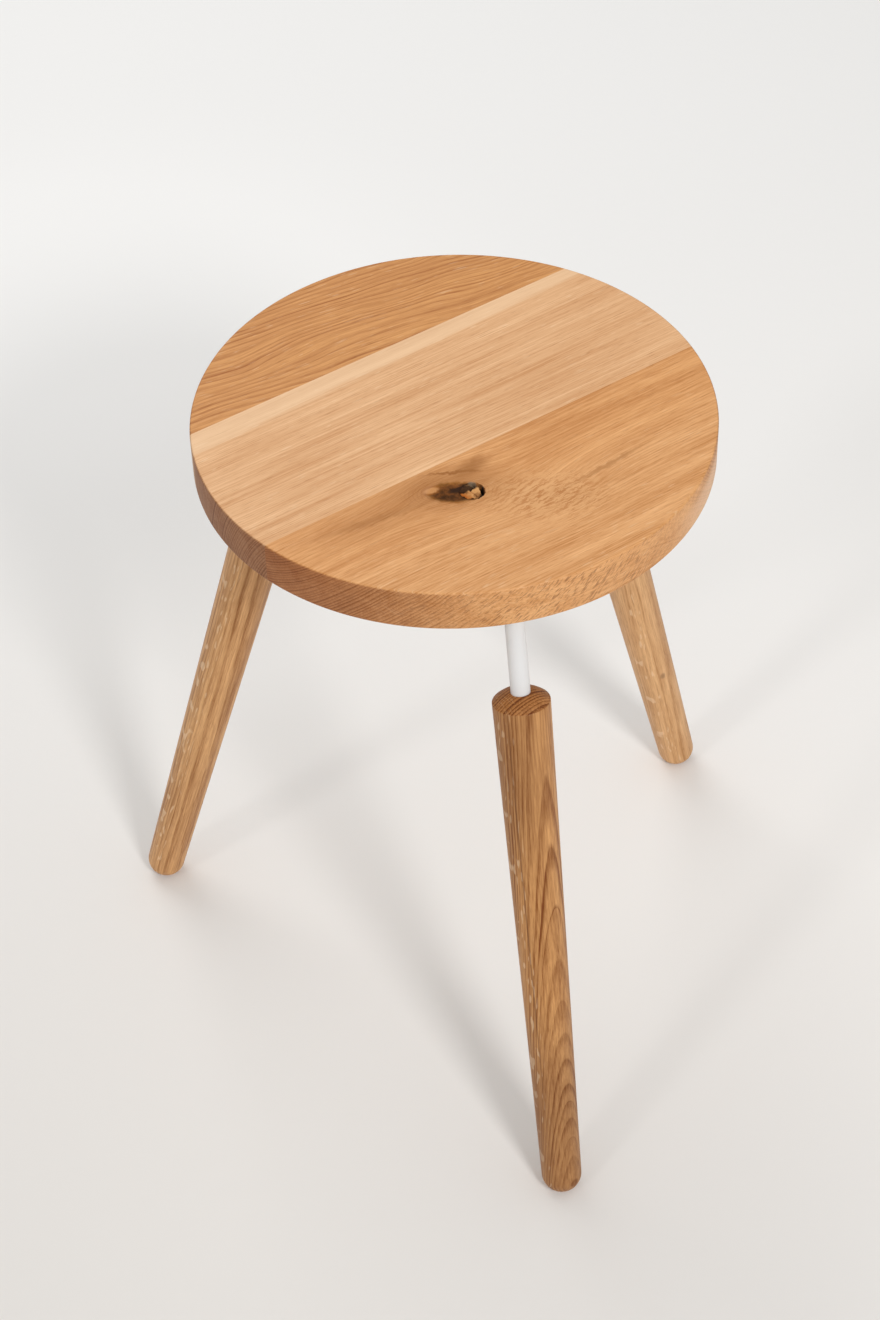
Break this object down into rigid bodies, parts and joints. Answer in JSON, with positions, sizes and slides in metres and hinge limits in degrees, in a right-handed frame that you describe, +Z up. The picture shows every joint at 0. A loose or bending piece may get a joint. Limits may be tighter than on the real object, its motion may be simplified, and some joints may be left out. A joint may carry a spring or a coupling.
{
  "type": "stool",
  "caption": "Low round stool: an edge-glued solid oak seat on splayed, tapered oak legs that hang clear of it on white steel rods.",
  "frame": {"origin": "on the floor, under the middle of the stool's bounding box; the seat's own axis stands 43 mm behind it, towards +Y", "axes": "+Z up, front leg towards -Y, the two rear legs towards +Y on each side"},
  "size_m": [0.4214, 0.407, 0.48],
  "materials": {
    "oak_rear": "oiled oak, darker honey brown",
    "oak_middle": "oiled oak, pale, with a strip of sapwood",
    "oak_front": "oiled oak, warm brown, with one knot",
    "oak_leg": "oiled, turned oak",
    "beech": "plain beech",
    "white_steel": "satin white powder coat",
    "zinc_steel": "zinc plated"
  },
  "bodies": {
    "root": {"seat_board_rear": "oak_rear", "seat_board_middle": "oak_middle", "seat_board_front": "oak_front", "seat_dowels": "beech", "mounting_plate": "white_steel", "plate_screws": "zinc_steel", "rod_welds": "white_steel", "rod_front": "white_steel", "rod_right": "white_steel", "rod_left": "white_steel", "leg_front": "oak_leg", "leg_right": "oak_leg", "leg_left": "oak_leg"}
  },
  "joints": []
}
